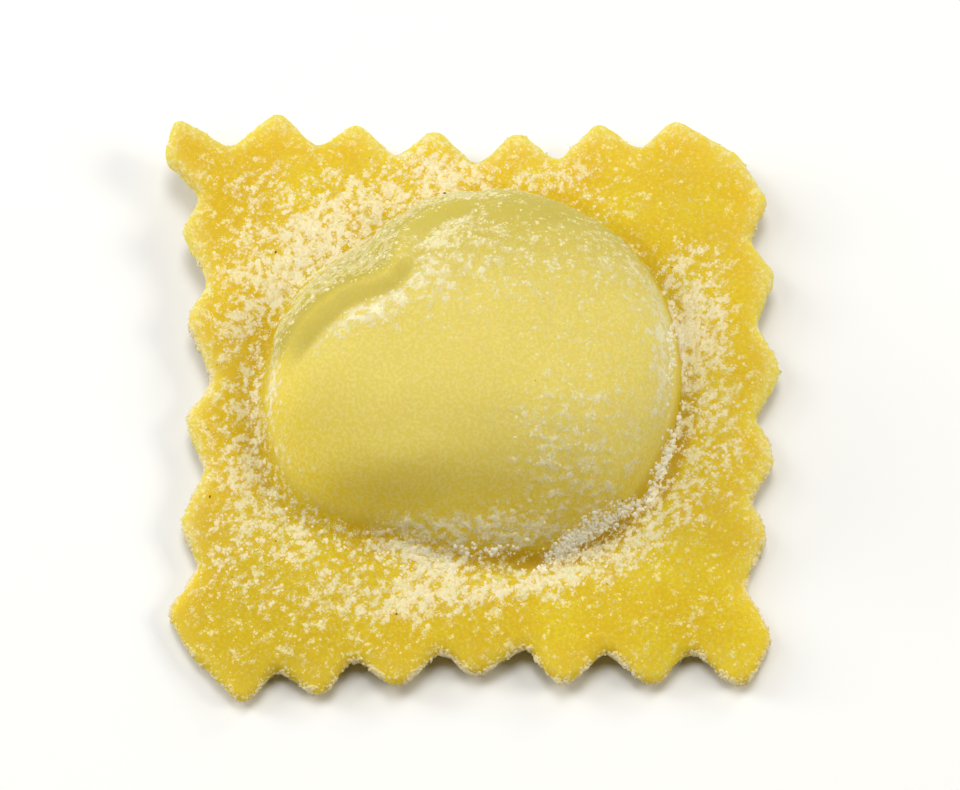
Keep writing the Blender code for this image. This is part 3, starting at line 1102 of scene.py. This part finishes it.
    @staticmethod
    def bake_places(points: np.ndarray, normals: np.ndarray) -> np.ndarray:
        """Lay the upper side out large and the underside small, with room for the steep parts.

        Args:
            points: vertices in mm.
            normals: their normals.

        Returns:
            A place from 0 to 1 in each direction, for each vertex.
        """
        upper = normals[:, 2] > -0.15
        height = np.where(upper, points[:, 2], -points[:, 2])
        radius = np.maximum(np.linalg.norm(points[:, :2], axis=1), 1e-6)
        drop_room, top, full_width = 0.7, 9.5, 84.0
        spread = (radius - drop_room * height + top) / radius
        wide = points[:, :2] * spread[:, None] / full_width
        large = wide * (0.72, 1.0) + (0.36, 0.5)
        small = wide * (0.26, 0.5) + (0.86, 0.5)
        return np.where(upper[:, None], large, small)


def evenly(by: float) -> Matrix:
    """A transform that scales evenly."""
    return Matrix.Scale(by, 4)


class Facets(Enum):
    """How finely a grain's lump is cut into triangles."""

    EIGHT = "octahedron"
    TWELVE = "flat flake with a six-cornered rim"
    TWENTY = "icosahedron"
    EIGHTY = "round lump"

    def template(self) -> tuple[np.ndarray, np.ndarray]:
        """Make the lump's unit form.

        Returns:
            Its corners, as directions, and its triangles.
        """
        if self in (Facets.EIGHT, Facets.TWELVE):
            around = 4 if self is Facets.EIGHT else 6
            angles = np.arange(around) * math.tau / around
            rim = np.stack([np.cos(angles), np.sin(angles), np.zeros(around)], axis=1)
            upper = [(k, (k + 1) % around, around) for k in range(around)]
            lower = [((k + 1) % around, k, around + 1) for k in range(around)]
            return np.vstack([rim, (0.0, 0.0, 1.0), (0.0, 0.0, -1.0)]), np.array(upper + lower)
        ball = bmesh.new()
        rounds = 1 if self is Facets.TWENTY else 2
        bmesh.ops.create_icosphere(ball, subdivisions=rounds, radius=1.0)
        corners = np.array([v.co[:] for v in ball.verts])
        triangles = np.array([[v.index for v in face.verts] for face in ball.faces])
        ball.free()
        return unit(corners), triangles


@dataclass
class GrainLot:
    """One lot of loose grains that share a form and a finish."""

    name: str
    finish: GrainFinish
    facets: Facets
    length: float
    spread: float
    flatness: float
    jag: float
    sink: float
    tilt: float
    pile: float
    seed: int
    shading: float = 0.35

    def build(self, spots: Spots) -> bpy.types.Object:
        """Build and dress the lot.

        Args:
            spots: one place for each grain.

        Returns:
            One mesh object that holds all the grains.
        """
        draw = np.random.default_rng(self.seed)
        corners, triangles = self.facets.template()
        count = len(spots.points)
        lengths = self.length * np.exp(self.spread * draw.normal(size=count)).clip(0.5, 2.2)
        thin = self.flatness * (1.0 - 0.45 * spots.filling)
        scale = np.stack([np.ones(count), draw.uniform(0.6, 0.95, count), thin], axis=1)
        scale *= 0.5 * lengths[:, None]
        shape = corners[None] * draw.uniform(1.0 - self.jag, 1.0 + self.jag, (count, len(corners), 1))
        shape = shape * scale[:, None, :]

        lean = self.tilt * (1.0 - 0.6 * spots.filling)[:, None]
        up = unit(spots.normals + lean * draw.normal(size=(count, 3)))
        side = unit(np.cross(up, unit(draw.normal(size=(count, 3)))))
        ahead = np.cross(up, side)
        turn = np.stack([side, ahead, up], axis=1)
        lift = scale[:, 2] * (1.0 - 2.0 * self.sink) + self.pile * draw.random(count) ** 2
        seat = spots.points + spots.normals * lift[:, None]
        placed = np.einsum("nvk,nkj->nvj", shape, turn) + seat[:, None]
        placed[:, :, 2] = np.maximum(placed[:, :, 2], 0.0)

        start = (np.arange(count) * len(corners))[:, None, None]
        faces = (triangles[None] + start).reshape(-1, 3)
        lot = mesh_object(self.name, placed.reshape(-1, 3), faces)
        # Light soaks through such small grains, so they're shaded much like the skin they lie on.
        own = unit(np.einsum("vk,nkj->nvj", corners, turn).reshape(-1, 3))
        skin = np.repeat(spots.normals, len(corners), axis=0)
        lot.data.polygons.foreach_set("use_smooth", np.ones(len(faces), bool))
        lot.data.normals_split_custom_set_from_vertices(unit(skin + self.shading * own))
        set_values(lot.data, "tone", np.repeat(draw.random(count), len(corners)))
        # Grains on the dome's near flank take less of the damp colour and stay lighter, a painted light
        # against the shade there.
        near = smooth_step(2.0, -8.0, far_right(spots.points))
        set_values(lot.data, "damp", np.repeat(spots.filling * (1.0 - 0.8 * near), len(corners)))
        set_values(lot.data, "lone", np.repeat(spots.lone, len(corners)))
        set_bake_map(lot.data, self.bake_places(count, corners))
        lot.data.materials.append(self.finish.build())
        # Light runs through grains of tenths of a millimetre, so they don't darken the dough.
        lot.visible_shadow = False
        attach(lot, BODY)
        LOG.info("%s: %d grains, %d triangles", self.name, count, len(faces))
        return lot

    @staticmethod
    def bake_places(count: int, corners: np.ndarray) -> np.ndarray:
        """Give each grain a square of its own, with its form folded flat in it.

        Args:
            count: how many grains.
            corners: the template's corners, as directions.

        Returns:
            A place from 0 to 1 in each direction, for each vertex of each grain.
        """
        flat = corners / np.abs(corners).sum(axis=1, keepdims=True)
        signs = np.where(flat[:, :2] < 0.0, -1.0, 1.0)
        folded = (1.0 - np.abs(flat[:, 1::-1])) * signs
        folded = np.where(flat[:, 2:] < 0.0, folded, flat[:, :2])
        across = math.ceil(math.sqrt(count))
        cell = np.stack([np.arange(count) % across, np.arange(count) // across], axis=1)
        return ((cell[:, None] + 0.5 + 0.4 * folded[None]) / across).reshape(-1, 2)


@dataclass
class Semolina:
    """All the loose grains on the raviolo, each kind as one piece."""

    dusting: Dusting
    seed: int = 21
    chalky: GrainFinish = GrainFinish("milled_semolina", "#ECDFB4", "#E2D094", 0.75)
    fine: GrainFinish = GrainFinish("semolina_dust", "#EBDEB2", "#E2D094", 0.85)
    packed: GrainFinish = GrainFinish("packed_semolina", "#EBDFB8", "#DFCF98", 0.9)
    caked: GrainFinish = GrainFinish("caked_semolina", "#F8F3E0", "#EEE5C4", 0.9, damp="#F4EDD2")
    glassy: GrainFinish = GrainFinish("glassy_durum_chip", "#FBEFC8", "#E9CC80", 0.12, specular=0.5)
    bran: GrainFinish = GrainFinish("wheat_bran", "#8A6A25", "#4E3A12", 0.7, damp="#6E5A20")

    def build(self, skin: Skin) -> list[bpy.types.Object]:
        """Strew and dress every lot.

        Args:
            skin: the dough's skin.

        Returns:
            The pieces.
        """
        draw = np.random.default_rng(self.seed)
        cover = self.dusting.cover(skin.points, skin.filling) * skin.upper
        flecks = self.dusting.flecked(skin.points, cover) * skin.upper
        # Grains sink into the moist dome, so fewer stand up there than on the dry border.
        slope = self.dusting.fold.slope_share(skin.points)
        dry = (1.0 - 0.45 * skin.filling) * (1.0 - 0.6 * skin.filling * slope)
        crumbs = self.edge_weight(skin)
        caked = self.dusting.caked(skin.points) ** 3 * skin.upper
        stray = 0.003 * skin.upper * (1.0 - skin.filling)
        lots = (
            (GrainLot("semolina_grains", self.chalky, Facets.TWELVE,
                      length=0.18, spread=0.38, flatness=0.16, jag=0.32,
                      sink=0.3, tilt=0.14, pile=0.03, seed=31),
             skin.strew(12000, (flecks ** 1.3 + stray) * dry, draw)),
            (GrainLot("semolina_dust", self.fine, Facets.EIGHT,
                      length=0.11, spread=0.30, flatness=0.4, jag=0.2,
                      sink=0.3, tilt=0.25, pile=0.03, seed=32),
             skin.strew(20000, (flecks + 0.12 * cover + stray) * dry, draw)),
            (GrainLot("semolina_clumps", self.packed, Facets.EIGHTY,
                      length=0.34, spread=0.30, flatness=0.30, jag=0.25,
                      sink=0.45, tilt=0.2, pile=0.0, seed=33),
             skin.strew(800, flecks ** 2 * cover ** 3 * dry, draw)),
            (GrainLot("caked_semolina", self.caked, Facets.TWENTY,
                      length=0.22, spread=0.45, flatness=1.2, jag=0.25,
                      sink=0.40, tilt=0.4, pile=0.06, seed=37, shading=0.9),
             skin.strew(850, caked, draw)),
            (GrainLot("edge_crumbs", self.chalky, Facets.TWELVE,
                      length=0.24, spread=0.35, flatness=0.5, jag=0.3,
                      sink=0.35, tilt=0.4, pile=0.08, seed=34, shading=1.5),
             skin.strew(3600, crumbs, draw)),
            (GrainLot("glassy_grains", self.glassy, Facets.TWENTY,
                      length=0.24, spread=0.25, flatness=0.7, jag=0.2,
                      sink=0.2, tilt=0.8, pile=0.0, seed=35, shading=2.0),
             skin.strew(90, cover * skin.upper, draw)),
            (GrainLot("bran_specks", self.bran, Facets.TWENTY,
                      length=0.20, spread=0.40, flatness=0.3, jag=0.3,
                      sink=0.45, tilt=0.2, pile=0.0, seed=36),
             skin.strew(36, skin.upper * (1.0 - 0.9 * skin.filling), draw)),
        )
        return [lot.build(spots) for lot, spots in lots]

    @staticmethod
    def edge_weight(skin: Skin) -> np.ndarray:
        """Tell how thickly crumbs cling to the cut edge: most on the near and left sides.

        Args:
            skin: the dough's skin.

        Returns:
            A weight for each vertex.
        """
        clumps = smooth_step(0.0, 0.6, Noise(seed=8).fractal(skin.points, 1.6, 2))
        near = smooth_step(5.0, -18.0, skin.points[:, 1])
        left = smooth_step(-5.0, -18.0, skin.points[:, 0]) * smooth_step(14.0, 2.0, skin.points[:, 1])
        sides = 0.02 + np.maximum(near, 0.7 * left)
        return skin.cut * sides * (0.08 + clumps) * (skin.normals[:, 2] > -0.4)


@dataclass
class SoftLight:
    """A square soft box aimed at the raviolo."""

    name: str
    place_m: tuple[float, float, float]
    watts: float
    size_m: float = 0.25
    colour: str = "#FFFFFF"

    def build(self) -> bpy.types.Object:
        """Hang the light.

        Returns:
            The light.
        """
        data = bpy.data.lights.new(self.name, "AREA")
        data.size = self.size_m
        data.energy = self.watts
        data.color = linear(self.colour)[:3]
        light = put(self.name, data)
        light.location = self.place_m
        light.rotation_euler = (-Vector(self.place_m)).to_track_quat("-Z", "Y").to_euler()
        return light


@dataclass
class Studio:
    """The white table, the lights and the camera."""

    floor_half_m: float = 1.5
    floor_colour: str = "#F5F5F3"
    sky_strength: float = 0.05
    lights: tuple[SoftLight, ...] = (
        SoftLight("left_high", (-0.35, 0.05, 0.65), 0.9),
        SoftLight("left_low", (-0.65, 0.15, 0.22), 1.5),
        SoftLight("left_mid", (-0.50, 0.20, 0.42), 1.0),
        SoftLight("right_back", (0.40, 0.50, 0.35), 0.8),
        SoftLight("right_high", (0.55, 0.0, 0.45), 1.8, colour="#FFF9EC"),
        SoftLight("top_back", (0.0, 0.30, 0.75), 1.1),
        SoftLight("top", (0.0, 0.10, 0.80), 1.7),
    )
    aim: tuple[float, float, float] = (0.8, 0.48, 3.0)
    elevation: float = 65.0
    distance_m: float = 0.5
    lens: float = 225.0

    def build(self) -> None:
        """Set the stage."""
        self.floor()
        for light in self.lights:
            light.build()
        self.sky()
        self.camera()
        LOG.info("studio: floor, %d lights, sky and camera", len(self.lights))

    def floor(self) -> bpy.types.Object:
        """Lay the table top.

        Returns:
            The floor, which isn't part of the object.
        """
        half = self.floor_half_m / MM
        points = np.array([(-half, -half, 0.0), (half, -half, 0.0), (half, half, 0.0), (-half, half, 0.0)])
        floor = mesh_object("table_top", points, np.array([(0, 1, 2, 3)]))
        # Pressed laminate is smooth and evenly matt, so shadows on it are soft and clean.
        material, tree = fresh_material("white_laminate")
        place = add_node(tree, "TexCoord").outputs["Object"]
        cloud = add_node(tree, "TexNoise", {"Vector": place, "Scale": per_metre(30.0)}).outputs["Fac"]
        sheen = add_node(tree, "MapRange", {"Value": cloud, "To Min": 0.55, "To Max": 0.65}).outputs[0]
        paint = {"Base Color": linear(self.floor_colour), "Roughness": sheen, "IOR": 1.45}
        shader = add_node(tree, "BsdfPrincipled", paint).outputs[0]
        add_node(tree, "OutputMaterial", {"Surface": shader})
        floor.data.materials.append(material)
        return floor

    def sky(self) -> None:
        """Light the scene evenly from all round."""
        world = bpy.data.worlds.new("white_room")
        bpy.context.scene.world = world
        world.use_nodes = True
        tree = world.node_tree
        tree.nodes.clear()
        glow = {"Color": linear("#FFFFFF"), "Strength": self.sky_strength}
        background = add_node(tree, "Background", glow).outputs[0]
        add_node(tree, "OutputWorld", {"Surface": background})

    def camera(self) -> bpy.types.Object:
        """Place the camera.

        Returns:
            The camera.
        """
        data = bpy.data.cameras.new("camera")
        data.lens = self.lens
        data.sensor_width = 36.0
        data.clip_start = 0.01
        camera = put("camera", data)
        tilt = math.radians(self.elevation)
        back = Vector((0.0, -math.cos(tilt), math.sin(tilt)))
        camera.location = Vector(self.aim) * MM + back * self.distance_m
        camera.rotation_euler = back.to_track_quat("Z", "Y").to_euler()
        bpy.context.scene.camera = camera
        return camera


def main() -> None:
    """Build the dough, the semolina and the studio."""
    logging.basicConfig(level=logging.INFO, format="%(name)s: %(message)s")
    bpy.context.scene.view_settings.view_transform = "Standard"
    fold = Fold()
    dusting = Dusting(fold)
    dough, skin = Dough(fold).build(dusting)
    LOG.info("built %s", dough.name)
    for lot in Semolina(dusting).build(skin):
        LOG.info("built %s", lot.name)
    Studio().build()


if __name__ == "__main__":
    main()
